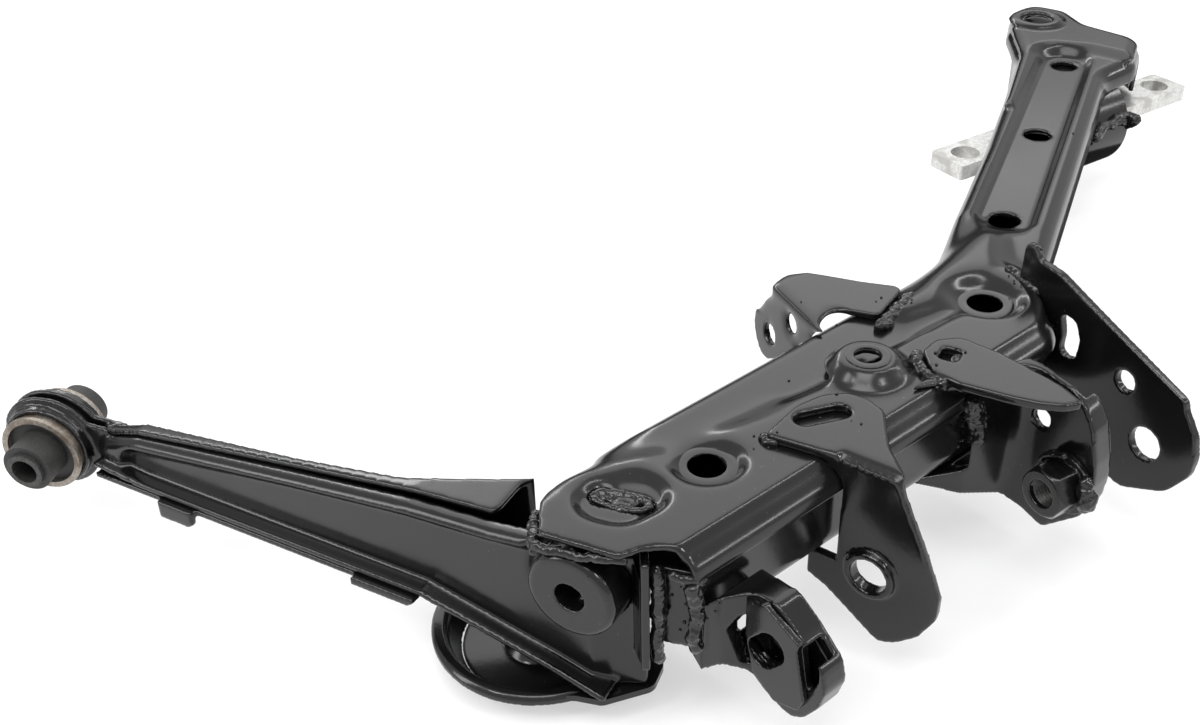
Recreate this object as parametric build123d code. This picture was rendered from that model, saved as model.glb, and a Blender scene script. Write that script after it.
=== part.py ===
import os
from math import cos, radians, sin

from build123d import *

# Rear control arm, in millimetres. The origin is the datum hole in the flat top
# of the main beam. +X runs along the beam towards the far leg, +Y points to the
# pivot side of the arm and +Z is up. The outer face of the beam's top is z = 0.

# Sheet gauges
shell_gauge = 3.0
bracket_gauge = 4.0
bend_radius = 6.0

# Main beam
beam_half_width = 38.5
beam_depth = 47.0
beam_lip = 13.0
beam_left_end = -110.0
shoulder_drop = 3.4
edge_radius = 9.0
bolt_hole = 15.0

# Far leg: a straight channel at an angle to the beam, with three holes in line
leg_angle = 26.2
leg_hole = (255.2, 45.2)
leg_pitch = 107.0
leg_left = 24.0
leg_right = 27.0
leg_depth = 28.0
leg_end_depth = 42.0
leg_pad_level = -7.5
hood_reach = 42.0

# Bar-pin bush under the end of the far leg
pin_centre = (438.5, 129.0, -40.5)
pin_angle = -7.9
pin_tube_outer = 58.0
pin_tube_length = 50.0
pin_bar_pitch = 169.0
pin_bar_width = 26.3
pin_bar_thickness = 9.0

# Lateral leg: its front face stands in an upright plane
lateral_origin = (-70.0, 12.0)
lateral_angle = 200.0

# Round bush at the end of the lateral leg
lateral_bush_centre = (-161.0, 261.5, -50.0)
lateral_bush_angle = 215.9
lateral_bush_length = 55.0
lateral_eye_outer = 47.0

# Damper boss on the lateral leg, near the beam
boss_centre = (-71.1, 0.0, -28.0)
boss_outer = 37.5
boss_bore = 12.4
boss_length = 16.0

# Cup in the bottom plate
cup_centre = (-54.0, 42.0)
cup_radius = 45.0
cup_floor_radius = 33.0
cup_level = -78.5

# Inner clevis, whose bolt runs along the beam
clevis_bolt = (-56.0, -45.5)
cam_face = -21.0

# Outer clevis, whose bolt is turned a little
outer_angle = -9.5
nut_face = (139.4, -75.0)
nut_level = -43.0
outer_face = (185.0, -84.0)

# Hose bracket
hose_angle = 161.4
hose_face = (114.0, 73.0)


def rounded(points, radius):
    """Closed face through the points, with rounded corners."""
    return make_face(FilletPolyline(*points, radius=radius, close=True))


def upright(origin, angle):
    """Plane whose normal points to the angle in plan and whose local Y is up."""
    turn = radians(angle)
    return Plane(origin=origin, x_dir=(-sin(turn), cos(turn), 0), z_dir=(cos(turn), sin(turn), 0))


def leg_point(along, across):
    """Plan point in the far leg's own directions, measured from its first hole."""
    turn = radians(leg_angle)
    return (
        leg_hole[0] + along * cos(turn) - across * sin(turn),
        leg_hole[1] + along * sin(turn) + across * cos(turn),
    )


def slab(face, low, high, lean=0.0):
    """Solid on a plan face, whose sides lean in by the given angle."""
    return extrude(Pos(0, 0, low) * face, amount=high - low, taper=lean)


def bore(centre, diameter, low, high):
    return Pos(centre[0], centre[1], (low + high) / 2) * Cylinder(diameter / 2, high - low)


def save(name, solid):
    export_step(solid, f"parts/{name}.step")


# Clamshell of the beam and the far leg

def plan_outline():
    """Outer walls of the beam, the far leg and the horn, seen from above."""
    corners = [
        ((beam_left_end, -beam_half_width), 0),
        ((180, -beam_half_width), 24),
        (leg_point(-68, -leg_right), 10),
        (leg_point(198, -leg_right), 30),
        (leg_point(226, -hood_reach), 20),
        (leg_point(260, -hood_reach), 18),
        (leg_point(276, -6), 16),
        (leg_point(297, 9), 14),
        (leg_point(303, 34), 14),
        (leg_point(286, 45), 14),
        (leg_point(255, 42), 30),
        (leg_point(212, 29), 60),
        (leg_point(150, leg_left + 2), 200),
        (leg_point(80, leg_left), 200),
        (leg_point(-62, leg_left), 60),
        ((beam_left_end, beam_half_width), 0),
    ]
    return rounded([c[0] for c in corners], [c[1] for c in corners])


def plateau_outline():
    """Raised part of the top: the datum side of the beam."""
    return rounded(
        [
            (beam_left_end, -33), (176, -33), (206, -12), (214, 14), (190, 15), (162, 2),
            (71, 5.5), (3, 15), (-46, 33), (beam_left_end, 45),
        ],
        [0, 24, 10, 7, 9, 10, 30, 40, 20, 0],
    )


def horn_outline():
    """Raised rim round the last hole of the leg, running out to the horn."""
    return rounded(
        [
            leg_point(120, 14), leg_point(214, 15), leg_point(226, 11), leg_point(228, -12),
            leg_point(214, -60), leg_point(340, -60), leg_point(340, 70), leg_point(170, 60),
        ],
        [6, 8, 8, 8, 5, 0, 0, 0],
    )


def root_outline():
    """Swelling behind the end hole of the beam, where the leg starts."""
    return rounded([(126, 12), (160, 3), (205, 5), (236, 30), (240, 47), (212, 43), (165, 33), (132, 29)],
                   [8, 10, 12, 12, 8, 12, 20, 8])


def form(inset, bottom):
    """Outside of the pressed top, or its inside when inset by the gauge."""
    plan = plan_outline() if inset == 0 else offset(plan_outline(), amount=-inset)
    lean = 48
    sink = inset * (1 - sin(radians(lean))) / cos(radians(lean))

    def raised(face, low, high, slope=lean):
        shrink = inset * (1 - sin(radians(slope))) / cos(radians(slope))
        grown = offset(face, amount=-shrink) if inset else face
        return slab(grown, low - inset, high - inset, slope)

    def pressed(face, floor, rim):
        grown = offset(face, amount=sink) if inset else face
        return slab(grown, floor - inset, rim + 1, -lean)

    def block(top):
        solid = slab(plan, bottom, top - inset)
        rim = solid.edges().filter_by_position(Axis.Z, top - inset - 0.01, top - inset + 0.01)
        return fillet(rim, edge_radius - inset)

    low = block(-shoulder_drop)
    high = block(0)
    body = low + (high & (raised(plateau_outline(), -shoulder_drop, 0)
                          + raised(horn_outline(), -shoulder_drop, 0, 70)))
    body += raised(root_outline(), -shoulder_drop - 0.5, 1.5, 62)
    dome = Pos(91.7, -2, -inset) * Cone(19 - sink, 12.5 - sink, 6.5,
                                        align=(Align.CENTER, Align.CENTER, Align.MIN))
    body += dome
    horn = leg_point(267, 25.6)
    body += Pos(horn[0], horn[1], -inset) * Cone(18 - sink, 15.5 - sink, 2.5,
                                                 align=(Align.CENTER, Align.CENTER, Align.MIN))
    body -= pressed(Circle(12), -4, 0)
    body -= pressed(Pos(176.3, 0) * Circle(14), -4.5, 2)
    body -= pressed(
        rounded([(-55, 8), (-48, -6), (-24, -7), (-24, 19), (-50, 20)], 10), -3.5, 0)
    body -= pressed(
        rounded([leg_point(-14, -12), leg_point(226, -12), leg_point(226, 12), leg_point(-14, 13)],
                [9, 8, 11, 11]), leg_pad_level, -shoulder_drop + 4)
    return body


def upper_shell():
    shell = form(0, -leg_end_depth) - form(shell_gauge, -leg_end_depth - 1)
    # The walls end higher along the beam and along the middle of the leg
    side = Plane.XZ.offset(-300)
    trim = extrude(side * rounded([(-200, -90), (-200, -beam_lip), (182, -beam_lip), (226, -leg_depth),
                                   (226, -90)], 0), amount=600)
    shell -= trim
    leg_side = upright((*leg_hole, 0), leg_angle + 90)
    middle = extrude(leg_side * rounded([(60, -90), (60, -leg_depth), (-155, -leg_depth),
                                         (-180, -leg_end_depth - 1), (-180, -90)], 0),
                     amount=200, both=True)
    shell -= middle
    # The walls are low round the horn, and open to an arch beside the bush tube
    horn_side = rounded([leg_point(226, 12), leg_point(226, 70), leg_point(330, 70), leg_point(330, -2),
                         leg_point(284, -2), leg_point(276, 12)], 0)
    shell -= slab(horn_side, -60, -14)
    arch = rounded([(-192, -60), (-203, -17), (-248, -17), (-254, -60)], [0, 10, 12, 0])
    shell -= extrude(upright((*leg_point(0, -hood_reach - 5), 0), leg_angle + 90) * arch, amount=26)
    # Trimmed end of the beam: the top sheet is cut to a nose and a notch
    nose = [(-130, -60), (-43, -60), (-43, -33), (-46, -27), (-53, -22), (-62.7, -19), (-75.7, 10),
            (-60, 29.6), (-46.4, 33), (-30, 34), (-24, 60), (-130, 60)]
    shell -= slab(rounded(nose, [0, 0, 3, 3, 3, 3, 3, 6, 5, 3, 0, 0]), -60, 10)
    # Bolt and drain holes
    for centre, diameter in [((0, 0), bolt_hole), ((91.7, -2), 11.5), ((176.3, 0), 15.6),
                             (leg_point(267, 25.6), 18.8)]:
        shell -= bore(centre, diameter, -30, 20)
    for hole in range(3):
        shell -= bore(leg_point(hole * leg_pitch, 0), bolt_hole, -30, 20)
    # Slot for the plug weld in the oval seat
    shell -= slab(Pos(-38.5, 6.5) * Rot(0, 0, 118) * SlotOverall(26, 10), -30, 10)
    # Saddle over the bush tube, and clearance for the bar
    shell -= pin_axis() * Cylinder(pin_tube_outer / 2, pin_tube_length + 6)
    shell -= bar_location() * Box(220, pin_bar_width + 5, 14)
    return shell


def pin_axis():
    """Location of the bar-pin bush: local Z runs along the bar."""
    turn = radians(pin_angle)
    return Plane(origin=pin_centre, x_dir=(-sin(turn), cos(turn), 0),
                 z_dir=(cos(turn), sin(turn), 0)).location


def bar_location():
    """Location of the bar: local X runs along it and local Z is up."""
    turn = radians(pin_angle)
    return Plane(origin=pin_centre, x_dir=(cos(turn), sin(turn), 0), z_dir=(0, 0, 1)).location


def lower_form(inset):
    """Outside of the channel that closes the beam and the leg from below."""
    plan = offset(plan_outline(), amount=-shell_gauge)
    beam_zone = rounded([(-37, -60), leg_point(-36, -80), leg_point(-36, 80), (-37, 80)], 0)
    leg_zone = rounded([leg_point(-56, -60), leg_point(158, -60), leg_point(158, 60),
                        leg_point(-56, 60)], 0)
    top = -edge_radius - shoulder_drop

    def tray(zone, floor, corner):
        face = offset(plan & zone, amount=-inset) if inset else plan & zone
        solid = slab(face, floor + inset, top + inset)
        rim = solid.edges().filter_by_position(Axis.Z, floor + inset - 0.01, floor + inset + 0.01)
        return fillet(rim, corner - inset)

    return tray(beam_zone, -beam_depth, 12) + tray(leg_zone, -leg_depth + 1, 5)


def lower_shell():
    shell = lower_form(0) - lower_form(shell_gauge)
    # The channel is open at the end of the beam, and has drain holes below
    shell -= slab(rounded([(-60, -60), (-33.5, -60), (-33.5, 60), (-60, 60)], 0), -70, 0)
    # Its outer wall turns in at the end, to meet the seam flange
    turned = rounded([(-32, -35.5), (-39, -35.5), (-46.8, -22.5), (-44.2, -21), (-37, -32.5), (-32, -32.5)],
                     [0, 6, 0, 0, 3, 0])
    shell += slab(turned, -50, -edge_radius - shoulder_drop)
    for x in (20, 130):
        shell -= bore((x, 0), 18, -60, -30)
    for along in (40, 120):
        shell -= bore(leg_point(along, 0), 14, -40, -20)
    return shell


# Lateral leg: two stampings that close to a box

crease = [(-240, -44), (-217, -37.5), (-127, -25.8), (-68, -18.4), (-30, -16), (-5, -12.8)]
hem = [(-240, -53), (-211, -56), (-60, -56), (0, -69), (24, -75.5)]


def lateral_plane(forward=0.0):
    turn = radians(lateral_angle)
    origin = (lateral_origin[0] + forward * cos(turn), lateral_origin[1] + forward * sin(turn), 0)
    return upright(origin, lateral_angle)


def lateral_plan(along, forward):
    """Plan point in the lateral leg's directions: towards the beam, and out of its front."""
    turn = radians(lateral_angle)
    return (
        lateral_origin[0] - along * sin(turn) + forward * cos(turn),
        lateral_origin[1] + along * cos(turn) + forward * sin(turn),
    )


def front_form(inset):
    """Outside of the front stamping before it is trimmed, or its inside."""
    side = crease + [(60, -12.8), (60, -120), (-240, -120)]
    face = rounded(side, [6, 30, 0, 60, 40, 30, 0, 0, 0])
    face = offset(face, amount=-inset) if inset else face
    block = extrude(lateral_plane(-20) * face, amount=20 - inset)
    outward = Axis((0, 0, 0), lateral_plane().z_dir)
    block = fillet(block.faces().sort_by(outward)[-1].edges(), 5 - inset)

    def pocket(opening, floor):
        return extrude(lateral_plane(floor - inset) * opening, amount=inset - floor + 2, taper=-45)

    panel = [(-224, -46)] + [(a, z - 6) for a, z in crease[2:]] + [(70, -18), (70, -130), (-224, -130)]
    block -= pocket(rounded(panel, [8, 40, 40, 30, 20, 0, 0, 0]), -3.5)
    block -= pocket(Pos(10.9, boss_centre[2]) * Circle(21), -6)
    bend = [lateral_plan(a, n - inset) for a, n in ((15, -3.5), (34, -12), (70, -12), (70, 12), (15, 12))]
    return block - slab(rounded(bend, 0), -130, 5)


def strip(points, thickness, back, front):
    """Band of sheet that follows a line in the lateral leg's side view."""
    lower = [(a, z - thickness) for a, z in reversed(points)]
    return extrude(lateral_plane(back) * rounded(points + lower, 0), amount=front - back)


def lateral_front_shell(neighbours):
    shell = front_form(0) - front_form(shell_gauge)
    below = [(a, z - 2.9) for a, z in hem] + [(40, -78), (80, -78), (80, -140), (-260, -140), (-260, -55)]
    beyond = [(34, 10), (34, -140), (90, -140), (90, 10)]
    for trim in (below, beyond):
        shell -= extrude(lateral_plane(-40) * rounded(trim, 0), amount=60)
    # The top flange ends inside the rear stamping
    behind = [lateral_plan(a, n) for a, n in ((-260, -8.8), (12, -8.8), (12, -40), (-260, -40))]
    shell -= slab(rounded(behind, 0), -130, 5)
    # Bottom flange, turned outwards
    shell += strip(hem, shell_gauge, -6.5, 4.5)
    # End flange, turned outwards towards the seam with the beam
    flange = [lateral_plan(a, n) for a, n in ((31, -12), (34, -12), (40, -3.5), (37.4, -1.8), (30.5, -9))]
    shell += slab(rounded(flange, 0), -59, -15)
    # Eye for the round bush
    shell += eye_plate(1.4, 1)
    shell -= boss_axis() * Cylinder(boss_outer / 2, 90)
    return shell - neighbours


def eye_plate(low, side):
    """Eye of one stamping: a round plate on a neck, with a turned collar round the bush."""
    plane = upright(lateral_bush_centre, lateral_bush_angle)
    neck = rounded([(10, 14), (36, 9.5), (36, -9.5), (10, -14)], 0)
    face = Circle(lateral_eye_outer / 2) + neck
    plate = extrude(plane.offset(low) * face, amount=shell_gauge)
    collar = Cylinder(20.5, 8, align=(Align.CENTER, Align.CENTER, Align.MIN))
    if side > 0:
        plate += plane.offset(low).location * collar
    else:
        plate += plane.offset(low + shell_gauge - 8).location * collar
    return plate - plane.location * Cylinder(18, 60)


def rear_form(inset):
    """Outside of the rear stamping, or its inside, which is open to the front."""
    wall = [(-240, -9), (-215, -12), (-130, -12), (-76, -15), (-62, -20), (-34, -31.5), (0, -50), (14, -56)]
    front = 4.5 if inset == 0 else 20
    plan = [lateral_plan(a, n + inset) for a, n in wall]
    plan += [lateral_plan(14, front), lateral_plan(-240, front)]
    upper = [(a, z + shell_gauge - inset) for a, z in crease[:-1]] + [(20, -12.5 - inset)]
    lower = [(20, cup_level + inset), (-10, cup_level + inset), (-60, -62.2 + inset), (-240, -62.2 + inset)]
    side = extrude(lateral_plane(-80) * rounded(upper + lower, 0), amount=110)
    return slab(rounded(plan, [0, 20, 60, 40, 20, 40, 60, 0, 0, 0]), -90, 10) & side


def lateral_rear_shell(neighbours):
    shell = rear_form(0) - rear_form(shell_gauge)
    # The top flange ends behind the front one, and the floor ends at the turned hem
    top_front = [lateral_plan(a, n) for a, n in ((-250, 10), (-250, -4), (-180, -6), (-100, -8),
                                                 (-31, -10), (-29.5, -13), (-30, -28), (-29, -31), (-10, -70), (40, -90), (40, 10))]
    shell -= slab(rounded(top_front, 0), -48, 10)
    shell -= extrude(lateral_plane(-6.5) * rounded([(-62, -40), (-62, -90), (60, -90), (60, -40)], 0), amount=30)
    # Lock tabs folded down over the seam
    for start, end, floor in ((-200, -180, -68), (-93, -62, -63.5)):
        tab = rounded([(start, -59.2), (end, -59.2), (end, floor + 2), (end - 3, floor), (start, floor)], 0)
        shell += extrude(lateral_plane(4.5) * tab, amount=3)
    shell += eye_plate(-4.4, -1)
    shell -= boss_axis() * Cylinder(boss_outer / 2, 90)
    return shell - neighbours


def boss_axis():
    return upright(boss_centre, lateral_angle).location


def damper_boss():
    boss = Cylinder(boss_outer / 2, boss_length, align=(Align.CENTER, Align.CENTER, Align.MAX))
    boss = fillet(boss.edges().filter_by(GeomType.CIRCLE).sort_by(Axis.Z)[-1:], 3)
    boss -= Cylinder(boss_bore / 2, 80)
    return boss_axis() * boss


def cup():
    """Cup with a rolled rim and a raised, drilled middle."""
    profile = make_face(Polyline(
        (cup_radius, -4), (cup_radius, -1.5), (cup_radius - 1.5, 0), (cup_radius - 5, 0),
        (cup_radius - 11, -12), (16, -12), (10, -6), (4, -6), (4, -9), (8.5, -9), (14.5, -15),
        (cup_radius - 13, -15), (cup_radius - 7, -3), (cup_radius - 3, -3), (cup_radius - 3, -4),
        close=True))
    return Pos(*cup_centre, cup_level) * revolve(Plane.XZ * profile, axis=Axis.Z)


def cup_core():
    """Cylinder that parts the cup's floor from its wall."""
    return bore(cup_centre, 2 * cup_floor_radius, cup_level - 20, cup_level + 5)


def seat_plate():
    """Plate that reaches from the cup to the underside of the beam."""
    tongue = rounded([(-54, 30), (-79, 30), (-79, 6.5), (-71, -1), (-65, -10), (-45, -18),
                      (-34, -12), (-20, 20)], [0, 0, 3, 3, 5, 6, 5, 0])
    plate = slab(tongue, cup_level - shell_gauge, cup_level)
    return plate - bore(cup_centre, 2 * cup_radius, cup_level - 20, cup_level + 5)


def end_flange():
    """Closing plate under the nose, with one flange turned out along the seam."""
    plan = [(-53.4, -25.2), (-45.4, -15.6), (-45.4, 26), (-48.9, 26), (-48.9, -14.4), (-56, -22.9)]
    return slab(rounded(plan, 0), -59, -6.6)


# Brackets


def cam_solid(plan, plan_radii, side, side_radii):
    """Block between a plan outline and an outline seen along the beam."""
    across = extrude(Plane.YZ.offset(-70) * rounded(side, side_radii), amount=90)
    return slab(rounded(plan, plan_radii), -110, 0) & across


def cam_outside():
    return cam_solid(
        [(-40, -30), (-40, -38.5), (-31, -41), (-21, -47), (-21, -100), (-9, -100), (-9, -30)],
        [0, 0, 10, 8, 0, 0, 0],
        [(-30, -26), (-58, -23.5), (-69, -31), (-80.5, -41), (-82.5, -50), (-79.5, -60),
         (-73, -70), (-66, -74), (-52, -69.5), (-30, -50)],
        [0, 8, 8, 8, 10, 10, 8, 6, 14, 0])


def clevis_slot():
    slot = Pos(*clevis_bolt) * Rot(0, 0, -50) * SlotOverall(20, 13)
    return extrude(Plane.YZ.offset(-50) * slot, amount=60)


def cam_bracket(neighbours):
    inside = cam_solid(
        [(-60, -20), (-37.5, -34.5), (-29.5, -37.5), (-17.5, -45.5), (-17.5, -110), (0, -110), (0, -20)],
        [0, 0, 8, 5, 0, 0, 0],
        [(-20, -29.6), (-57, -27), (-67, -33.8), (-77.3, -42.7), (-79, -50), (-76.3, -58.5),
         (-71, -67), (-66, -70), (-53, -66), (-20, -44)],
        [0, 5, 5, 5, 7, 7, 5, 4, 10, 0])
    bracket = cam_outside() - inside
    left_window = rounded([(-41.5, -41), (-44.5, -34), (-49, -37), (-49.5, -59), (-44.5, -61)], 2)
    right_window = rounded([(-70.5, -36), (-73.5, -32), (-78.5, -40), (-79, -46), (-74.5, -57)], 1.5)
    for window in (left_window, right_window):
        bracket -= extrude(Plane.YZ.offset(-50) * window, amount=38)
    return bracket - clevis_slot() - neighbours


def cam_plate():
    face = rounded([(-41.6, -29.4), (-45.7, -25.5), (-54.1, -24.2), (-71.6, -31.8), (-70.6, -36),
                    (-75.2, -57.6), (-72.6, -64.1), (-60.8, -67.9), (-49.5, -60.3)],
                   [1, 1, 2, 1.5, 2, 1.5, 2, 2, 1])
    plate = extrude(Plane.YZ.offset(cam_face - 3) * face, amount=3)
    return plate - clevis_slot() - cam_outside()


def folded(plane, wall, tab, tab_level):
    """Sheet with an upright wall and a tab folded over at the top."""
    upright_part = extrude(plane * wall, amount=bracket_gauge)
    return upright_part + slab(tab, tab_level, tab_level + bracket_gauge)


def centre_bracket(neighbours):
    plane = upright((34, -36, 0), 12)
    wall = rounded([(10, 4), (10, -60), (0.5, -64), (-24, -81), (-32, -77), (-40.4, -69.5), (-47, -57),
                    (-47.3, -46), (-39.1, -26.8), (-28.6, -4.9), (-25.5, 4)],
                   [0, 0, 10, 6, 10, 10, 8, 8, 60, 30, 0])
    wall -= Pos(-18.3, -46.7) * Circle(7.8)
    tab = rounded([(23.5, -7.4), (33.7, -35.8), (39.4, -61.5), (43.2, -62), (52.3, -46.4), (69.6, -29.8),
                   (71.6, -19.5), (69.2, -11.2), (60.9, -4.8), (46.7, -2.8)],
                  [3, 0, 0, 2, 30, 8, 8, 8, 14, 14])
    tab -= Pos(49.5, -14.5) * Rot(0, 0, -24) * SlotOverall(24, 9)
    bracket = folded(plane, wall, tab, 0)
    # Round outside of the fold between the tab and the wall
    across = Plane(origin=plane.origin, x_dir=plane.z_dir, z_dir=-plane.x_dir)
    corner = Pos(bend_radius / 2, bracket_gauge - bend_radius / 2) * Rectangle(bend_radius, bend_radius)
    corner -= Pos(bend_radius, bracket_gauge - bend_radius) * Circle(bend_radius)
    bracket -= extrude(across * corner, amount=40)
    emboss = plane.offset(-3).location * Pos(-18.3, -46.7) * Cylinder(
        11, 3, align=(Align.CENTER, Align.CENTER, Align.MIN))
    emboss -= plane.location * Pos(-18.3, -46.7) * Cylinder(7.8, 20)
    return bracket + emboss - neighbours


def nut_plane(origin):
    return upright((*origin, 0), outer_angle)


def nut_bracket(neighbours):
    """Drawn bracket with a flank that runs back to the beam and a tongue over its top."""
    def block(plan, plan_radii, side, side_radii):
        across = extrude(Plane.YZ.offset(60) * rounded(side, side_radii), amount=120)
        return slab(rounded(plan, plan_radii), -100, 30) & across

    outside = block(
        [(92, -25), (118, -38.5), (144, -47), (135.6, -98), (150, -100), (150, -25)],
        [0, 8, 10, 0, 0, 0],
        [(-20, 3), (-70, 0), (-78, -6), (-83, -14), (-86.5, -27.8), (-87.4, -38), (-86.6, -48),
         (-83.5, -57), (-66, -75), (-50, -72), (-28, -50), (-20, -47)],
        [0, 12, 10, 10, 10, 10, 10, 8, 6, 14, 8, 0])
    inside = block(
        [(88, -18.5), (119.6, -34.8), (148, -44), (139, -101), (170, -110), (170, -18.5)],
        [0, 4, 6, 0, 0, 0],
        [(-10, 29), (-66, 29), (-74, -7), (-79.3, -16), (-82.6, -28.8), (-83.4, -38), (-82.8, -46.5),
         (-80.2, -54.5), (-65.4, -70.3), (-51.8, -67.6), (-29.5, -45), (-10, -38)],
        [0, 0, 6, 6, 6, 6, 6, 4, 4, 10, 4, 0])
    bracket = outside - inside
    tab = rounded([(109.3, -19.7), (105.7, -25.9), (106.2, -38.3), (113.7, -58.9), (118, -68),
                   (124, -76), (131.4, -80), (135.5, -66.4), (137.5, -35.8), (135.5, -16.8),
                   (126.4, -10.5), (115.7, -11.8)], [4, 3, 6, 20, 8, 4, 2, 20, 20, 6, 5, 4])
    tab -= Pos(121, -22) * Rot(0, 0, 20) * RectangleRounded(9, 8, 1.5)
    bracket += slab(tab, 0, bracket_gauge)
    face = nut_plane(nut_face).location
    bracket -= face * Pos(19, -22) * Cylinder(4.5, 30)
    bracket -= face * Pos(0, nut_level) * Cylinder(bolt_hole / 2, 40)
    return bracket - neighbours


def weld_nut():
    """Flanged hexagon nut, welded to the outside of its bracket."""
    nut = extrude(RegularPolygon(12.2, 6), 13)
    nut &= Cone(20.5, 10.2, 13.001, align=(Align.CENTER, Align.CENTER, Align.MIN))
    nut += Cylinder(14, 3, align=(Align.CENTER, Align.CENTER, Align.MAX))
    nut -= Cylinder(6.3, 60)
    seat = nut_plane(nut_face).location * Pos(0, nut_level)
    return seat * Rot(180, 0, 0) * Pos(0, 0, 3) * nut


def outer_plate(neighbours):
    plane = nut_plane(outer_face)
    outline = [(82.8, 18.9), (78.8, 20.3), (73.5, 14.4), (61, 13.3), (36.4, 4.4), (-12.5, -12.5),
               (-14, -16.8), (-21.3, -26.6), (-23.6, -36), (-22.6, -45.8), (-13.3, -60), (9.7, -72.1),
               (30, -66), (60, -40), (72, -30), (84, -6)]
    wall = rounded(outline, [2, 3, 5, 10, 20, 3, 5, 14, 14, 14, 16, 12, 30, 20, 8, 0])
    kidney = rounded([(57.6, -3.4), (48.2, -5.2), (44.7, -12.4), (45.3, -23.8), (55.2, -25.6), (54.1, -15.7)],
                     [3, 3, 5, 4, 4, 8])
    wall -= kidney
    wall -= Pos(17.3, -19.1) * Circle(5)
    wall -= Pos(1.35, nut_level) * Circle(7.8)
    return extrude(plane * wall, amount=bracket_gauge) - neighbours


def hose_bracket(neighbours):
    plane = upright((*hose_face, 0), hose_angle)
    wall = rounded([(-1.7, 0.1), (-2.1, -6), (-7.8, -11.3), (-15.2, -22), (-16.8, -29), (-14.1, -37),
                    (-6.3, -46), (3.8, -39), (25.4, -20), (44.3, -3), (44.3, 0.1)],
                   [0, 1, 3, 6, 8, 8, 8, 8, 20, 3, 0])
    wall -= Pos(-0.9, -27.8) * Circle(5.3)
    wall -= Pos(17.5, -11.8) * Circle(4)
    strap = rounded([(113.5, 74.8), (126.8, 77.5), (133, 71.1), (140, 58), (146, 46), (156, 30),
                     (128.4, 22), (123.5, 31.6), (119, 40), (100, 34)],
                    [0, 6, 8, 20, 20, 4, 4, 10, 8, 0])
    plate = extrude(plane * wall, amount=-3.5)
    return plate + slab(strap, -3.4, 0.1) - neighbours


# Bushes


def ring(outer, inner, length, centre=0.0):
    return Pos(0, 0, centre) * (Cylinder(outer / 2, length) - Cylinder(inner / 2, length + 1))


def bush_place():
    return upright(lateral_bush_centre, lateral_bush_angle).location


def lateral_bush_shell():
    lip = ring(38, 32.6, 1.8, 12.9)
    return bush_place() * (ring(36, 32.6, 26) + lip)


def lateral_bush_rubber():
    body = ring(32.6, 17, 22) + ring(23, 17, lateral_bush_length - 5)
    return bush_place() * body


def lateral_bush_sleeve():
    return bush_place() * ring(17, 12, lateral_bush_length)


def pin_bush_tube():
    return pin_axis() * ring(pin_tube_outer, pin_tube_outer - 6, pin_tube_length)


def pin_bush_shell():
    return pin_axis() * ring(pin_tube_outer - 6, pin_tube_outer - 10, pin_tube_length + 4)


def pin_bush_rubber():
    return pin_axis() * ring(pin_tube_outer - 10, 26, pin_tube_length - 6) - pin_bush_bar()


def pin_bush_bar():
    """Forged bar with a round core and a flat, drilled end on each side."""
    flat = extrude(RectangleRounded(200, pin_bar_width, 2.5), pin_bar_thickness / 2, both=True)
    bar = Rot(0, 90, 0) * Cylinder(13.5, 60)
    bar += flat
    for side in (-1, 1):
        bar -= Pos(side * pin_bar_pitch / 2, 0, 0) * Cylinder(8.5, 40)
    return bar_location() * bar


if __name__ == "__main__":
    os.makedirs("parts", exist_ok=True)
    upper = upper_shell()
    lower = lower_shell()
    lower_block = lower_form(0)
    # The closed beam: what is fixed to its outside is cut to its surface
    beam = form(0, -beam_depth) & slab(rounded([(-40, -90), (700, -90), (700, 400), (-40, 400)], 0), -90, 20)
    beam += lower_block
    nose = upper + lower_block + lower + end_flange()
    rear = lateral_rear_shell(nose)
    nut = weld_nut()
    save("upper_shell", upper)
    save("lower_shell", lower)
    save("lateral_rear_shell", rear)
    save("lateral_front_shell", lateral_front_shell(nose) - rear)
    save("seat_plate", seat_plate())
    save("cup_wall", cup() - cup_core())
    save("cup_floor", cup() & cup_core())
    save("end_flange", end_flange() - lower_block)
    save("damper_boss", damper_boss())
    save("cam_bracket", cam_bracket(beam) - lower)
    save("cam_plate", cam_plate())
    save("centre_bracket", centre_bracket(beam))
    save("nut_bracket", nut_bracket(beam) - nut)
    save("weld_nut", nut)
    save("outer_plate", outer_plate(beam))
    save("hose_bracket", hose_bracket(beam))
    save("lateral_bush_shell", lateral_bush_shell())
    save("lateral_bush_rubber", lateral_bush_rubber())
    save("lateral_bush_sleeve", lateral_bush_sleeve())
    save("pin_bush_tube", pin_bush_tube())
    save("pin_bush_shell", pin_bush_shell())
    save("pin_bush_rubber", pin_bush_rubber())
    save("pin_bush_bar", pin_bush_bar())
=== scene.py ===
import math
import random

import bpy
from mathutils import Matrix, Vector
from mathutils.bvhtree import BVHTree


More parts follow.
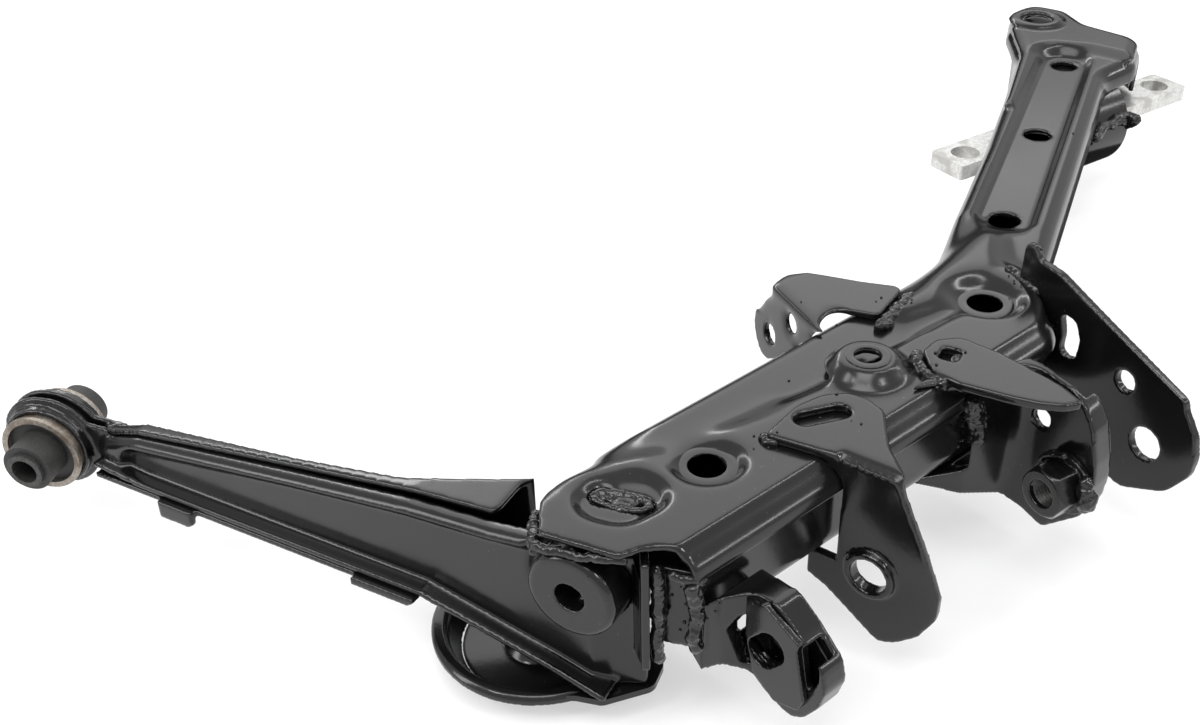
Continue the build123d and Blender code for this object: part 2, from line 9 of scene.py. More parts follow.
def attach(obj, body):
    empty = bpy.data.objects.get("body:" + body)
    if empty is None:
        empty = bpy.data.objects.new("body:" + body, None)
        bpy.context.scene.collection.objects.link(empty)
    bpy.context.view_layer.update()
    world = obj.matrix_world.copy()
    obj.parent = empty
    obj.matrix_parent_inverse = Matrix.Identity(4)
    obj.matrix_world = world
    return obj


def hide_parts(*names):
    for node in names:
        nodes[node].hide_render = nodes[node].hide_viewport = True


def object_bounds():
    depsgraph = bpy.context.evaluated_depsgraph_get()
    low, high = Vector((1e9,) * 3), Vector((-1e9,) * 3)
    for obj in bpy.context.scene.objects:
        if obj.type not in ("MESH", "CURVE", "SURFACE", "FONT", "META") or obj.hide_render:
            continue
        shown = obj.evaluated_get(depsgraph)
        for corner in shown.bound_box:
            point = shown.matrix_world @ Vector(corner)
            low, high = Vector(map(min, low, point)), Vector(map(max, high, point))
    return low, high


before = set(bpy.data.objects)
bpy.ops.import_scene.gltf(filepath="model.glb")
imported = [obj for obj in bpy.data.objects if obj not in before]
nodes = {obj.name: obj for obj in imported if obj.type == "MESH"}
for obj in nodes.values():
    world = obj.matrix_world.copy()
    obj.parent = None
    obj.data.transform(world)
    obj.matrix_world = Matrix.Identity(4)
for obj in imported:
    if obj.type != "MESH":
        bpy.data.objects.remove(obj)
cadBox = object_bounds()
bpy.ops.object.select_all(action="DESELECT")
mm = 0.001
print("frame loaded,", len(nodes), "nodes")


# shared shader effects

def newGroup(name, inputs, outputs):
    group = bpy.data.node_groups.new(name, "ShaderNodeTree")
    for label, default in inputs:
        group.interface.new_socket(label, in_out="INPUT", socket_type="NodeSocketFloat").default_value = default
    for label, kind in outputs:
        group.interface.new_socket(label, in_out="OUTPUT", socket_type=kind)
    return group, group.nodes.new("NodeGroupInput"), group.nodes.new("NodeGroupOutput")


def addNode(tree, kind, values=None, links=None, **settings):
    node = tree.nodes.new(kind)
    for key, value in settings.items():
        setattr(node, key, value)
    for key, value in (values or {}).items():
        node.inputs[key].default_value = value
    for key, socket in (links or {}).items():
        tree.links.new(socket, node.inputs[key])
    return node


def addRamp(tree, source, stops, smooth=False):
    ramp = addNode(tree, "ShaderNodeValToRGB", links={"Fac": source})
    band = ramp.color_ramp
    band.interpolation = "EASE" if smooth else "LINEAR"
    while len(band.elements) < len(stops):
        band.elements.new(0.5)
    for element, (position, shade) in zip(band.elements, stops):
        element.position = position
        element.color = (shade, shade, shade, 1)
    return ramp.outputs["Color"]


# baked paint: orange peel, slow changes of gloss, and grains of dust
def makeCoatSkin():
    group, given, out = newGroup(
        "coatSkin", [("Peel Scale", 420), ("Peel Depth", 0.25), ("Dust", 0.4)],
        [("Tone", "NodeSocketFloat"), ("Specks", "NodeSocketFloat"), ("Normal", "NodeSocketVector")])
    place = addNode(group, "ShaderNodeTexCoord").outputs["Object"]
    peel = addNode(group, "ShaderNodeTexNoise", {"Detail": 2.0, "Roughness": 0.45},
                   {"Vector": place, "Scale": given.outputs["Peel Scale"]})
    slow = addNode(group, "ShaderNodeTexNoise", {"Scale": 16.0, "Detail": 4.0, "Roughness": 0.6},
                   {"Vector": place})
    grains = addNode(group, "ShaderNodeTexVoronoi", {"Scale": 260.0, "Randomness": 1.0}, {"Vector": place})
    core = addRamp(group, grains.outputs["Distance"], [(0.0, 1.0), (0.11, 0.0)])
    patch = addRamp(group, slow.outputs["Fac"], [(0.45, 0.0), (0.7, 1.0)])
    mixed = addNode(group, "ShaderNodeMath", links={0: core, 1: patch}, operation="MULTIPLY")
    specks = addNode(group, "ShaderNodeMath", links={0: mixed.outputs[0], 1: given.outputs["Dust"]},
                     operation="MULTIPLY")
    bump = addNode(group, "ShaderNodeBump", {"Distance": 0.0002},
                   {"Height": peel.outputs["Fac"], "Strength": given.outputs["Peel Depth"]})
    group.links.new(slow.outputs["Fac"], out.inputs["Tone"])
    group.links.new(specks.outputs[0], out.inputs["Specks"])
    group.links.new(bump.outputs["Normal"], out.inputs["Normal"])
    return group


coatSkin = makeCoatSkin()


def newMaterial(name, metallic=0.0):
    material = bpy.data.materials.new(name)
    material.use_nodes = True
    tree = material.node_tree
    shader = tree.nodes["Principled BSDF"]
    shader.inputs["Metallic"].default_value = metallic
    return material, tree, shader


def mixColour(tree, low, high, factor):
    mix = addNode(tree, "ShaderNodeMix", data_type="RGBA")
    tree.links.new(factor, mix.inputs["Factor"])
    for socket, colour in ((mix.inputs["A"], low), (mix.inputs["B"], high)):
        if isinstance(colour, tuple):
            socket.default_value = (*colour, 1)
        else:
            tree.links.new(colour, socket)
    return mix.outputs["Result"]


def spread(tree, source, low, high):
    return addNode(tree, "ShaderNodeMapRange", {"To Min": low, "To Max": high},
                   {"Value": source}).outputs["Result"]


dustColour = (0.21, 0.20, 0.19)


# black dip paint, whose gloss runs between the two roughnesses
def makeCoat(name, peelDepth, peelScale, glossLow, glossHigh, dust, dark, pale):
    material, tree, shader = newMaterial(name)
    skin = addNode(tree, "ShaderNodeGroup", node_tree=coatSkin)
    skin.inputs["Peel Scale"].default_value = peelScale
    skin.inputs["Peel Depth"].default_value = peelDepth
    skin.inputs["Dust"].default_value = dust
    toned = mixColour(tree, dark, pale, skin.outputs["Tone"])
    dusty = mixColour(tree, toned, dustColour, skin.outputs["Specks"])
    tree.links.new(dusty, shader.inputs["Base Color"])
    tree.links.new(spread(tree, skin.outputs["Tone"], glossLow, glossHigh), shader.inputs["Roughness"])
    tree.links.new(skin.outputs["Normal"], shader.inputs["Normal"])
    return material


# bare metal with grain, and stains where it has aged
def makeMetal(name, dark, pale, metallic, roughLow, roughHigh, grainScale, grainDepth, stains=None):
    material, tree, shader = newMaterial(name, metallic)
    place = addNode(tree, "ShaderNodeTexCoord").outputs["Object"]
    grain = addNode(tree, "ShaderNodeTexNoise", {"Scale": grainScale, "Detail": 5.0, "Roughness": 0.65},
                    {"Vector": place})
    patches = addNode(tree, "ShaderNodeTexNoise", {"Scale": 90.0, "Detail": 3.0}, {"Vector": place})
    colour = mixColour(tree, dark, pale, addRamp(tree, grain.outputs["Fac"], [(0.35, 0.0), (0.65, 1.0)]))
    if stains:
        colour = mixColour(tree, colour, stains, addRamp(tree, patches.outputs["Fac"], [(0.5, 0.0), (0.62, 0.75)]))
    bump = addNode(tree, "ShaderNodeBump", {"Distance": 0.0002, "Strength": grainDepth},
                   {"Height": grain.outputs["Fac"]})
    tree.links.new(colour, shader.inputs["Base Color"])
    tree.links.new(spread(tree, patches.outputs["Fac"], roughLow, roughHigh), shader.inputs["Roughness"])
    tree.links.new(bump.outputs["Normal"], shader.inputs["Normal"])
    return material


finishes = {
    "sheet": makeCoat("coatSheet", 0.12, 380, 0.10, 0.26, 0.5, (0.002, 0.002, 0.0021), (0.006, 0.006, 0.0065)),
    "weld": makeCoat("coatWeld", 0.55, 900, 0.06, 0.20, 0.3, (0.003, 0.003, 0.003), (0.008, 0.008, 0.008)),
    "ring": makeMetal("agedRing", (0.20, 0.175, 0.15), (0.36, 0.33, 0.29), 0.75, 0.35, 0.55, 700, 0.5,
                      (0.13, 0.10, 0.075)),
    "sleeve": makeMetal("darkSleeve", (0.030, 0.030, 0.030), (0.075, 0.072, 0.07), 0.6, 0.35, 0.55, 900, 0.4),
    "bar": makeMetal("brightBar", (0.50, 0.50, 0.49), (0.72, 0.72, 0.70), 0.85, 0.38, 0.6, 600, 0.35,
                     (0.42, 0.41, 0.39)),
    "rubber": makeMetal("moldedRubber", (0.012, 0.012, 0.012), (0.03, 0.03, 0.029), 0.0, 0.5, 0.7, 1400, 0.5),
}

finishOf = {
    "lateral_bush_shell": "ring", "lateral_bush_rubber": "rubber", "lateral_bush_sleeve": "sleeve",
    "pin_bush_shell": "sleeve", "pin_bush_rubber": "rubber", "pin_bush_bar": "bar",
}
for name, node in nodes.items():
    node.data.materials.clear()
    node.data.materials.append(finishes[finishOf.get(name, "sheet")])
print("finishes made")


# modelling helpers

# an empty mesh at the origin, open in edit mode
def startPiece(name):
    bpy.ops.object.select_all(action="DESELECT")
    bpy.ops.object.add(type="MESH", location=(0, 0, 0))
    piece = bpy.context.object
    piece.name = name
    bpy.ops.object.mode_set(mode="EDIT")
    return piece


def addModifier(piece, kind, **settings):
    modifier = piece.modifiers.new(kind.title(), kind)
    for key, value in settings.items():
        setattr(modifier, key, value)
    bpy.context.view_layer.objects.active = piece
    bpy.ops.object.modifier_apply(modifier=modifier.name)


def finishPiece(piece, finish):
    piece.data.materials.clear()
    piece.data.materials.append(finishes[finish])
    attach(piece, "root")


# the stampings: a copy of each solid is melted to a fine even mesh, whose folds and edges are then rounded

stampings = {   # size of the mesh in millimetres, and how many times its edges are rounded
    "upper_shell": (1.28, 3), "lower_shell": (1.25, 6), "lateral_front_shell": (0.8, 12),
    "lateral_rear_shell": (0.8, 9), "cam_bracket": (0.7, 7), "cam_plate": (0.5, 4),
    "centre_bracket": (0.7, 12), "nut_bracket": (0.75, 14), "outer_plate": (0.6, 5), "hose_bracket": (0.7, 9),
    "weld_nut": (0.45, 3), "damper_boss": (0.6, 4), "cup_wall": (0.5, 6), "cup_floor": (0.7, 6),
    "end_flange": (0.8, 3),
}
# pressed seats: middle, radius of the round pad, reach of the soft rim, and its rounding; the oval seat has
# its flat floor as a level instead, as far out as floorReach
rims = [
    {"middle": (0, 0), "pad": 12.5, "reach": 27, "rounds": 26},
    {"middle": (-39, 7), "pad": 0, "reach": 36, "rounds": 26, "floor": -3.5, "floorReach": 19},
    {"middle": (91.7, -2), "pad": 11.5, "reach": 30, "rounds": 14},
    {"middle": (176.3, 0), "pad": 14.5, "reach": 30, "rounds": 14},
]
slopes = [   # long gentle steps and folds: the node, the line in plan, its reach and the rounding
    {"node": "upper_shell", "line": [(-60, 39), (-46, 33), (3, 15), (40, 10)], "reach": 16, "rounds": 160},
    {"node": "upper_shell", "line": [(40, 10), (71, 5.5)], "reach": 10, "rounds": 40},
    {"node": "upper_shell", "line": [(140, 14), (205, 10), (234, 32), (236, 44), (212, 40), (165, 33)],
     "reach": 18, "rounds": 110},
    {"node": "hose_bracket", "line": [(117, 76), (103, 30)], "reach": 18, "rounds": 200},
    {"node": "centre_bracket", "line": [(36, -38), (42, -62)], "reach": 9, "rounds": 18},
]
softening = {   # millimetres, and how quickly the rounding fades with distance
    "sheetGauge": 3, "flatBand": 0.4, "rimLowest": -11, "slopeLowest": -22, "rimGain": 3, "slopeGain": 2,
}
smoothFactor = 0.5   # of every Smooth modifier


# a copy of a CAD node, with its loose triangles joined
def copyNode(name):
    bpy.ops.object.select_all(action="DESELECT")
    nodes[name].select_set(True)
    bpy.context.view_layer.objects.active = nodes[name]
    bpy.ops.object.duplicate()
    piece = bpy.context.object
    piece.name = name + "_skin"
    piece.parent = None
    for key in list(piece.keys()):
        del piece[key]
    bpy.ops.object.mode_set(mode="EDIT")
    bpy.ops.mesh.select_all(action="SELECT")
    bpy.ops.mesh.remove_doubles(threshold=0.00001)
    bpy.ops.object.mode_set(mode="OBJECT")
    return piece


def distanceToLine(point, line):
    best = 1e9
    for start, end in zip(line, line[1:]):
        a, b = Vector(start), Vector(end)
        share = max(0, min(1, (point - a).dot(b - a) / (b - a).length_squared))
        best = min(best, (point - a.lerp(b, share)).length)
    return best


# rounds the part of a piece that the weight picks out
def soften(piece, weightAt, rounds):
    group = piece.vertex_groups.new(name="soft")
    for vertex in piece.data.vertices:
        weight = weightAt(vertex.co / mm)
        if weight > 0:
            group.add([vertex.index], min(1, weight), "REPLACE")
    addModifier(piece, "SMOOTH", factor=smoothFactor, iterations=rounds, vertex_group="soft")
    piece.vertex_groups.remove(piece.vertex_groups["soft"])


def rimWeight(rim):
    def weightAt(place):
        away = (place.xy - Vector(rim["middle"])).length
        if away > rim["reach"] or away < rim["pad"] or place.z < softening["rimLowest"]:
            return 0
        if "floor" in rim and away < rim["floorReach"]:   # both faces of the sheet stay flat there
            over = place.z - rim["floor"]
            if min(abs(over), abs(over + softening["sheetGauge"])) < softening["flatBand"]:
                return 0
        return softening["rimGain"] * (1 - away / rim["reach"])
    return weightAt


def slopeWeight(slope):
    def weightAt(place):
        if place.z < softening["slopeLowest"]:
            return 0
        return softening["slopeGain"] * (1 - distanceToLine(place.xy, slope["line"]) / slope["reach"])
    return weightAt


def softenNode(name, grain, rounds):
    piece = copyNode(name)
    addModifier(piece, "REMESH", mode="VOXEL", voxel_size=grain * mm, use_smooth_shade=True)
    addModifier(piece, "SMOOTH", factor=smoothFactor, iterations=rounds)
    for slope in slopes:
        if slope["node"] == name:
            soften(piece, slopeWeight(slope), slope["rounds"])
    if name == "upper_shell":
        for rim in rims:
            soften(piece, rimWeight(rim), rim["rounds"])
    bpy.ops.object.select_all(action="DESELECT")
    piece.select_set(True)
    bpy.ops.object.shade_smooth()
    finishPiece(piece, "sheet")
    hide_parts(name)
    return len(piece.data.polygons)


faces = {name: softenNode(name, *made) for name, made in stampings.items()}
print("stampings softened, faces:", faces)


# welds

random.seed(7)
welds = {   # path in millimetres along the middle of the bead, then its width
    "weld_boss": {"path": [(-77, 10, -5), (-74.5, 3, -5), (-69, -4, -5.5), (-64, -14, -4.8), (-60, -18, -4.5)],
                  "width": 5},
    "weld_seam": {"path": [(-43, -37, -16), (-42.5, -37.5, -24), (-42.8, -37.3, -34), (-42, -37.5, -45)], "width": 8},
    "weld_seam_flange": {"path": [(-49, -24, -13), (-48.6, -24.5, -25), (-48.6, -24.5, -40), (-48.6, -24.5, -57)],
                         "width": 7},
    "weld_seam_corner": {"path": [(-47, -31, -11), (-43, -35.5, -12), (-38, -38, -14)], "width": 5},
    "weld_nose": {"path": [(-76, 12, -9), (-70, 20, -10), (-62, 29, -11)], "width": 6},
    "weld_hose_strap": {"path": [(124.3, 18, -2), (132.6, 19.3, -2), (143.8, 21.6, -2), (154.9, 24.3, -2)],
                        "width": 7},
    "weld_outer_plate": {"path": [(204, 6.6, -1), (201, -1, -1), (198.5, -8, -1.5), (198, -12, -2)], "width": 7},
    "weld_nut_tongue": {"path": [(114.5, -11, 0.5), (107.5, -16, 0.5), (104.5, -24, 0.5), (104.5, -31, 0.5)],
                        "width": 8},
    "weld_nut_flank": {"path": [(117, -39, -11), (119, -40, -20), (120.5, -40.5, -30)], "width": 10},
    "weld_nut_rim": {"path": [(133, -86, -35), (133, -87.5, -41), (133, -86, -47)], "width": 8},
    "weld_nut_top": {"path": [(135.5, -63.5, -35), (134.8, -68, -30), (134, -74, -27.5)], "width": 4},
    "weld_centre_tab": {"path": [(24.5, -6.5, 1), (23.5, -9, 0.5), (24.5, -12, 0.5)], "width": 5},
    "weld_centre_edge": {"path": [(67.5, -18.5, 0.8), (68.5, -13.5, 0.8), (65.5, -8.5, 0.8)], "width": 3.2},
    "weld_tube_front": {"path": [(416, 94, -31), (426, 97.5, -32), (434, 100.3, -33), (442, 100, -31.5),
                                 (449, 99.2, -31), (457, 98.2, -31.4), (463, 98.5, -34)], "width": 8},
    "weld_tube_left": {"path": [(462, 118, -55), (461, 110, -46), (460, 101, -37), (458.5, 93, -31)], "width": 9},
}
bead = {   # shares of the bead's width, and the size of its mesh in millimetres
    "step": 0.1, "firstSwell": 0.43, "leastSwell": 0.34, "mostSwell": 0.5, "swellChange": 0.035,
    "wander": 0.07, "wanderKept": 0.8, "grain": 0.45, "roughness": 0.17, "smoothRounds": 5,
}
plugs = {   # middle, turn, length and width of the filled hole, and the level of the fill
    "plug_oval_seat": {"centre": (-38.5, 6.5), "turn": 118, "length": 24, "width": 9, "level": -4.2},
    "plug_centre_tab": {"centre": (46, -18), "turn": -24, "length": 17, "width": 6, "level": 0.6},
    "plug_nut_tongue": {"centre": (122.5, -25), "turn": 20, "length": 7, "width": 5, "level": 1.6},
}
plugFill = {"rimLumps": 26, "middleLumps": 12, "middleSize": 0.3, "middleSink": 0.22, "grain": 0.5, "roughness": 0.7}


# points at even steps along a line of corners
def pointsAlong(path, step):
    found, carried = [], 0.0
    for start, end in zip(path, path[1:]):
        a, b = Vector(start), Vector(end)
        run = (b - a).length
        while carried < run:
            found.append(a.lerp(b, carried / run))
            carried += step
        carried -= run
    return found


def newClouds(name, scale, depth):
    clouds = bpy.data.textures.new(name, "CLOUDS")
    clouds.noise_scale = scale
    clouds.noise_depth = depth
    return clouds


beadBumps = [(newClouds("slag", 0.0045, 1), 1.0), (newClouds("ripple", 0.0016, 0), 0.4)]   # and their shares


# melts the lumps of an open piece into one skin
def fuseLumps(piece, grain, roughness):
    bpy.ops.object.mode_set(mode="OBJECT")
    addModifier(piece, "REMESH", mode="VOXEL", voxel_size=grain * mm, use_smooth_shade=True)
    addModifier(piece, "SMOOTH", factor=smoothFactor, iterations=bead["smoothRounds"])
    for texture, share in beadBumps:
        addModifier(piece, "DISPLACE", texture=texture, strength=roughness * share * mm, mid_level=0.5,
                    texture_coords="LOCAL")


def layBead(name, path, width):
    piece = startPiece(name)
    swell, drift = bead["firstSwell"], Vector()
    change, wander = bead["swellChange"], bead["wander"]
    for spot in pointsAlong(path, width * bead["step"]):
        swell = min(bead["mostSwell"], max(bead["leastSwell"], swell + random.uniform(-change, change)))
        shove = Vector([random.uniform(-wander, wander) * width for _ in range(3)])
        drift = drift * bead["wanderKept"] + shove
        bpy.ops.mesh.primitive_ico_sphere_add(subdivisions=2, radius=swell * width * mm,
                                              location=(spot + drift) * mm)
    fuseLumps(piece, bead["grain"], bead["roughness"] * width)
    finishPiece(piece, "weld")


# a ring of lumps round the edge of the hole, over a lower fill
def fillPlug(name, centre, turn, length, width, level):
    piece = startPiece(name)
    angle = math.radians(turn)
    along, across = Vector((math.cos(angle), math.sin(angle), 0)), Vector((-math.sin(angle), math.cos(angle), 0))
    middle = Vector((*centre, level))
    for step in range(plugFill["rimLumps"]):
        t = 2 * math.pi * step / plugFill["rimLumps"]
        spot = middle + along * math.cos(t) * length * 0.46 + across * math.sin(t) * width * 0.48
        radius = width * random.uniform(0.15, 0.24)
        bpy.ops.mesh.primitive_ico_sphere_add(subdivisions=2, radius=radius * mm, location=spot * mm)
    for step in range(plugFill["middleLumps"]):
        spot = middle + along * random.uniform(-0.34, 0.34) * length + across * random.uniform(-0.25, 0.25) * width
        spot.z -= plugFill["middleSink"] * width
        bpy.ops.mesh.primitive_ico_sphere_add(subdivisions=2, radius=width * plugFill["middleSize"] * mm,
                                              location=spot * mm)
    fuseLumps(piece, plugFill["grain"], plugFill["roughness"])
    finishPiece(piece, "weld")


for name, weld in welds.items():
    layBead(name, **weld)
for name, plug in plugs.items():
    fillPlug(name, **plug)
print("welds laid:", len(welds) + len(plugs))


# thickens the flat face being edited, and leaves edit mode
def thicken(shift):
    bpy.ops.mesh.select_all(action="SELECT")
    bpy.ops.mesh.extrude_region_move(TRANSFORM_OT_translate={"value": shift})
    bpy.ops.mesh.select_all(action="SELECT")
    bpy.ops.mesh.normals_make_consistent(inside=False)
    bpy.ops.object.mode_set(mode="OBJECT")


# inner plate of the cam bracket, which darkens its windows; the bolt's slot goes through it

camLiner = {
    "outline": [(-37, -32), (-56, -28), (-66.5, -34.5), (-76.5, -43), (-78, -50), (-75.5, -58), (-70.5, -66),
                (-65, -68.5), (-53.5, -65), (-37, -53)],
    "near": -13.0, "far": -10.5, "hole": (-56.0, -45.5), "holeRadius": 7.8,
}


def placeCamLiner():
    piece = startPiece("cam_liner")
    bpy.ops.mesh.primitive_circle_add(vertices=len(camLiner["outline"]), radius=5 * mm, fill_type="NGON")
    bpy.ops.object.mode_set(mode="OBJECT")
    for vertex, (y, z) in zip(piece.data.vertices, camLiner["outline"]):
        vertex.co = Vector((camLiner["near"], y, z)) * mm
    bpy.ops.object.mode_set(mode="EDIT")
    thicken(((camLiner["far"] - camLiner["near"]) * mm, 0, 0))
    bpy.ops.mesh.primitive_cylinder_add(
        vertices=48, radius=camLiner["holeRadius"] * mm, depth=0.02, rotation=(0, math.pi / 2, 0),
        location=(camLiner["near"] * mm, camLiner["hole"][0] * mm, camLiner["hole"][1] * mm))
    cutter = bpy.context.object
    addModifier(piece, "BOOLEAN", object=cutter, operation="DIFFERENCE", solver="EXACT")
    bpy.data.objects.remove(cutter)
    addModifier(piece, "BEVEL", width=0.4 * mm, segments=2, limit_method="ANGLE")
    finishPiece(piece, "sheet")


placeCamLiner()


legLiners = {   # dark discs inside the leg, which close the view through its holes
    "leg_liner_root": {"centre": (288.0, 61.5, -24.0), "radius": 20},
    "leg_liner_end": {"centre": (453.5, 143.0, -11.2), "radius": 13},
}
linerThickness = 1.2


def placeLegLiner(name, centre, radius):
    piece = startPiece(name)
    bpy.ops.mesh.primitive_circle_add(vertices=48, radius=radius * mm, fill_type="NGON", location=Vector(centre) * mm)
    thicken((0, 0, -linerThickness * mm))
    addModifier(piece, "BEVEL", width=0.3 * mm, segments=2, limit_method="ANGLE")
    finishPiece(piece, "sheet")


for name, liner in legLiners.items():
    placeLegLiner(name, **liner)


seatRings = {   # coined rings on the flat pads: middle and level of the pad, inner and outer radius
    "seat_ring_datum": {"centre": (0.0, 0.0, -4.0), "inner": 7.7, "outer": 12.3},
    "seat_ring_end": {"centre": (176.3, 0.0, -4.5), "inner": 8.0, "outer": 13.0},
    "seat_ring_dome": {"centre": (91.7, -2.0, 6.5), "inner": 5.9, "outer": 9.6},
}
ringProud = 0.45   # above the pad, and as much below it


def placeSeatRing(name, centre, inner, outer):
    piece = startPiece(name)
    bpy.ops.mesh.primitive_circle_add(vertices=64, radius=outer * mm, fill_type="NGON",
                                      location=Vector(centre) * mm + Vector((0, 0, ringProud * mm)))
    bpy.ops.mesh.inset(thickness=(outer - inner) * mm)
    bpy.ops.mesh.delete(type="FACE")
    thicken((0, 0, -2 * ringProud * mm))
    addModifier(piece, "BEVEL", width=0.3 * mm, segments=3, limit_method="ANGLE")
    bpy.ops.object.shade_smooth_by_angle(angle=math.radians(40))
    finishPiece(piece, "sheet")


for name, ring in seatRings.items():
    placeSeatRing(name, **ring)
print("liners and seat rings placed")


# spatter: grains of metal thrown off while welding, sitting on the nearest surface

spatter = {
    "clusters": [   # middle, spread, count, and the direction the surface is seen from
        ((-66, -12, -8), 8, 6, (-0.94, -0.34, 0.2)), ((-42, -36, -30), 13, 14, (-0.4, -0.9, 0.1)),
        ((24, -9, 4), 7, 4, (0, 0, 1)), ((66, -13, 4), 8, 5, (0, 0, 1)), ((110, -16, 3), 9, 12, (0, 0, 1)),
        ((124, -24, 5), 7, 5, (0, 0, 1)), ((138, 22, 0), 12, 6, (0, 0, 1)), ((200, -4, 0), 8, 6, (0, 0, 1)),
        ((122, -42, -28), 12, 8, (-0.5, -0.85, 0)), ((-30, -46, -34), 13, 8, (-0.8, -0.6, 0)),
        ((60, -24, 5), 20, 4, (0, 0, 1)), ((-70, 80, -20), 60, 5, (-0.6, -0.2, 0.8)),
        ((90, 5, 0), 60, 4, (0, 0, 1)), ((300, 70, -3), 90, 3, (0, 0, 1)),
    ],
    "smallest": 0.28, "largest": 0.75,   # radius in millimetres
    "proud": 0.3,   # share of the radius that the middle stands above the surface
    "throwHeight": 30, "throwReach": 60,
}


def throwSpatter():
    trees = [BVHTree.FromPolygons([v.co for v in node.data.vertices], [p.vertices for p in node.data.polygons])
             for node in nodes.values()]
    piece = startPiece("weld_spatter")
    landed = 0
    for middle, spreadOut, count, seen in spatter["clusters"]:
        facing = Vector(seen).normalized()
        side = facing.orthogonal().normalized()
        other = facing.cross(side)
        for _ in range(count):
            reach, turn = spreadOut * math.sqrt(random.random()), random.uniform(0, 2 * math.pi)
            start = (Vector(middle) + side * reach * math.cos(turn) + other * reach * math.sin(turn)
                     + facing * spatter["throwHeight"]) * mm
            hits = [tree.ray_cast(start, -facing, spatter["throwReach"] * mm) for tree in trees]
            hits = [hit for hit in hits if hit[0]]
            if not hits:
                continue
            place, normal = min(hits, key=lambda hit: hit[3])[:2]
            size = random.uniform(spatter["smallest"], spatter["largest"]) * mm
            bpy.ops.mesh.primitive_ico_sphere_add(subdivisions=2, radius=size,
                                                  location=place + normal * size * spatter["proud"])
            landed += 1
    bpy.ops.object.mode_set(mode="OBJECT")
    bpy.ops.object.shade_smooth()
    finishPiece(piece, "weld")
    print("spatter grains:", landed)


throwSpatter()


# thread of the welded nut

thread = {"mouth": (139.4, -75.0, -43.0), "angle": -9.5, "depth": 16.0, "outer": 6.35, "inner": 5.55, "pitch": 1.5}


def cutThread():
    piece = startPiece("nut_thread")
    pitch, outer, inner = thread["pitch"], thread["outer"], thread["inner"]
    bpy.ops.mesh.primitive_circle_add(vertices=3, radius=0.1 * mm)
    bpy.ops.object.mode_set(mode="OBJECT")
    profile = [(outer, 0, 0), (inner, 0, 0.5 * pitch), (outer, 0, pitch)]
    for vertex, place in zip(piece.data.vertices, profile):
        vertex.co = Vector(place) * mm
    turns = int(thread["depth"] / pitch) - 1
    addModifier(piece, "SCREW", axis="Z", angle=2 * math.pi, screw_offset=pitch * mm, iterations=turns,
                steps=32, render_steps=32, use_merge_vertices=True, use_normal_calculate=True)
    turn = math.radians(thread["angle"])
    inward = Vector((-math.cos(turn), -math.sin(turn), 0))
    across = Vector((-math.sin(turn), math.cos(turn), 0))
    frameOf = Matrix((across, inward.cross(across), inward)).transposed().to_4x4()
    piece.data.transform(Matrix.Translation(Vector(thread["mouth"]) * mm) @ frameOf)
    bpy.ops.object.shade_smooth_by_angle(angle=math.radians(40))
    finishPiece(piece, "sleeve")


cutThread()
print("nut thread cut")


# studio

studio = {
    "middle": (0.15, 0.1), "floorLevel": cadBox[0][2] - 0.0003, "floorSize": 14.0,
    "floorColour": (0.95, 0.95, 0.95), "paperColour": (0.9, 0.9, 0.9), "worldLight": 0.78, "whiteShare": 0.5,
    "lampAim": (0.15, 0.1, -0.03),
}


def makeStudio():
    bpy.ops.mesh.primitive_plane_add(size=studio["floorSize"], location=(*studio["middle"], studio["floorLevel"]))
    floor = bpy.context.object
    floor.name = "floor"
    material, tree, shader = newMaterial("studioFloor")
    place = addNode(tree, "ShaderNodeTexCoord").outputs["Object"]
    paper = addNode(tree, "ShaderNodeTexNoise", {"Scale": 40.0}, {"Vector": place})
    tree.links.new(mixColour(tree, studio["floorColour"], studio["paperColour"], paper.outputs["Fac"]),
                   shader.inputs["Base Color"])
    shader.inputs["Roughness"].default_value = 0.9
    shader.inputs["Specular IOR Level"].default_value = 0.1
    # part of what the camera and the gloss see of the floor is plain white, which lightens the shadow
    path = addNode(tree, "ShaderNodeLightPath")
    seen = addNode(tree, "ShaderNodeMath", links={0: path.outputs["Is Camera Ray"], 1: path.outputs["Is Glossy Ray"]},
                   operation="MAXIMUM")
    seen = addNode(tree, "ShaderNodeMath", links={0: seen.outputs[0], 1: path.outputs["Is Transmission Ray"]},
                   operation="MAXIMUM")
    share = addNode(tree, "ShaderNodeMath", {1: studio["whiteShare"]}, {0: seen.outputs[0]}, operation="MULTIPLY")
    white = addNode(tree, "ShaderNodeEmission", {"Color": (1, 1, 1, 1), "Strength": 1.0})
    mix = addNode(tree, "ShaderNodeMixShader", links={0: share.outputs[0], 1: shader.outputs[0],
                                                      2: white.outputs[0]})
    tree.links.new(mix.outputs[0], tree.nodes["Material Output"].inputs["Surface"])
    floor.data.materials.append(material)
    world = bpy.data.worlds.new("studio")
    bpy.context.scene.world = world
    world.use_nodes = True
    back = world.node_tree.nodes["Background"]
    back.inputs["Color"].default_value = (1, 1, 1, 1)
    back.inputs["Strength"].default_value = studio["worldLight"]


def addLamp(name, place, size, power):
    bpy.ops.object.light_add(type="AREA", location=place)
    lamp = bpy.context.object
    lamp.name = name
    lamp.data.shape = "RECTANGLE"
    lamp.data.size, lamp.data.size_y = size
    lamp.data.energy = power
    lamp.rotation_euler = (Vector(studio["lampAim"]) - Vector(place)).to_track_quat("-Z", "Y").to_euler()


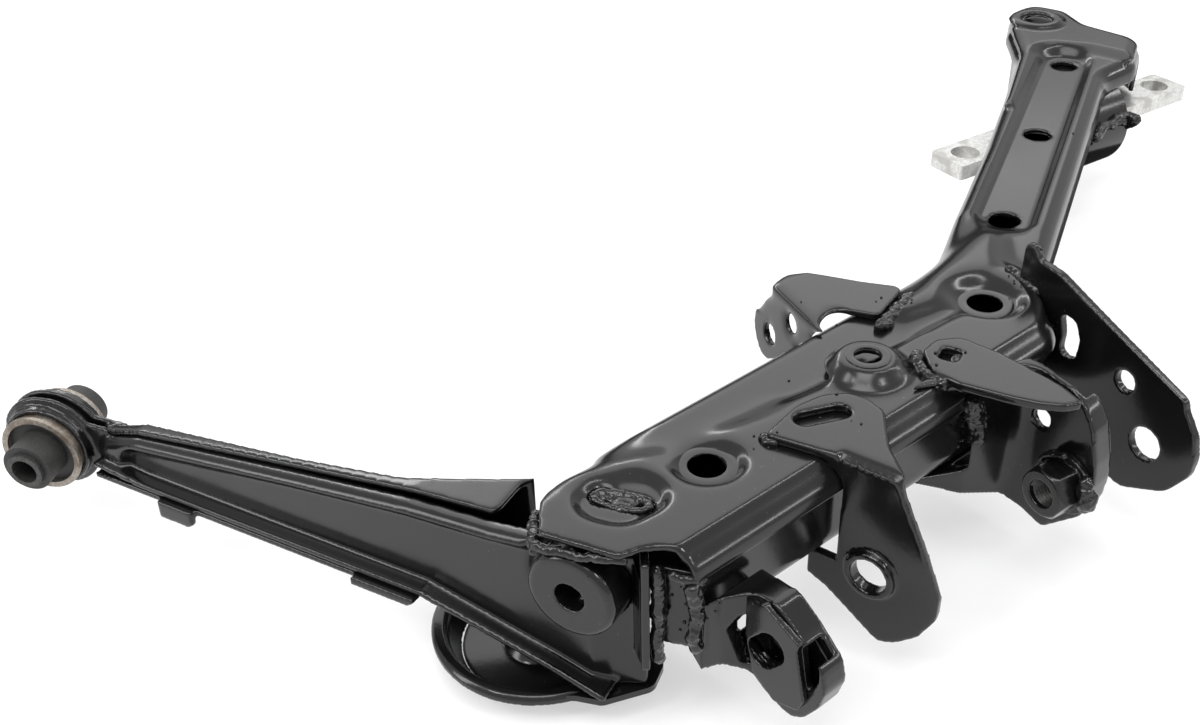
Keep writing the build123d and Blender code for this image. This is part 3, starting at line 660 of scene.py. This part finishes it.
lamps = {
    "overheadBox": {"place": (1.3, 1.45, 1.5), "size": (2.2, 1.5), "power": 14},
    "ceilingBox": {"place": (-0.5, -0.3, 2.0), "size": (1.2, 1.2), "power": 20},
    "leftStrip": {"place": (-1.5, 0.9, 1.1), "size": (0.5, 1.6), "power": 14},
    "rimStrip": {"place": (0.4, 1.9, 1.0), "size": (1.8, 0.15), "power": 8},
    "edgeStrip": {"place": (1.05, -0.25, 1.05), "size": (0.07, 1.6), "power": 5},
    "frontStrip": {"place": (1.0, -1.0, 0.55), "size": (0.9, 0.10), "power": 3},
    "sparkleLeft": {"place": (-1.1, 0.1, 1.3), "size": (0.22, 0.22), "power": 4},
    "sparkleFront": {"place": (0.2, -1.2, 1.2), "size": (0.22, 0.22), "power": 4},
}
cards = {   # black cards outside the picture, seen only by the gloss: middle, size and turn
    "legCard": {"place": (0.50, 0.115, studio["floorLevel"] + 0.001), "size": (0.62, 0.07), "turn": (0, 0, 26.2)},
    "backCard": {"place": (0.95, 1.05, 0.06), "size": (2.4, 0.34), "turn": (90, 0, -40)},
}


# a photographer's flag: it darkens what the paint reflects, and throws no shadow
def placeCard(name, place, size, turn):
    bpy.ops.mesh.primitive_plane_add(size=1, location=place, rotation=[math.radians(angle) for angle in turn])
    card = bpy.context.object
    card.name = name
    card.scale = (*size, 1)
    material, tree, shader = newMaterial(name)
    shader.inputs["Base Color"].default_value = (0.01, 0.01, 0.01, 1)
    shader.inputs["Roughness"].default_value = 0.9
    card.data.materials.append(material)
    card.visible_camera = card.visible_diffuse = card.visible_shadow = card.visible_transmission = False


makeStudio()
for name, card in cards.items():
    placeCard(name, **card)
for name, lamp in lamps.items():
    addLamp(name, **lamp)

view = {
    "place": (-0.3095, -0.3065, 0.335),
    "right": (0.75446, -0.65583, -0.02613),
    "up": (0.38054, 0.40463, 0.83154),
    "lens": 42.6,
}


def makeCamera():
    bpy.ops.object.camera_add(location=view["place"])
    camera = bpy.context.object
    right, up = Vector(view["right"]), Vector(view["up"])
    turn = Matrix((right, up, right.cross(up))).transposed()
    camera.rotation_euler = turn.to_euler()
    camera.data.lens = view["lens"]
    camera.data.sensor_width = 36.0
    camera.data.clip_start = 0.01
    bpy.context.scene.camera = camera


makeCamera()
bpy.context.scene.view_settings.view_transform = "Standard"
print("studio and camera placed")
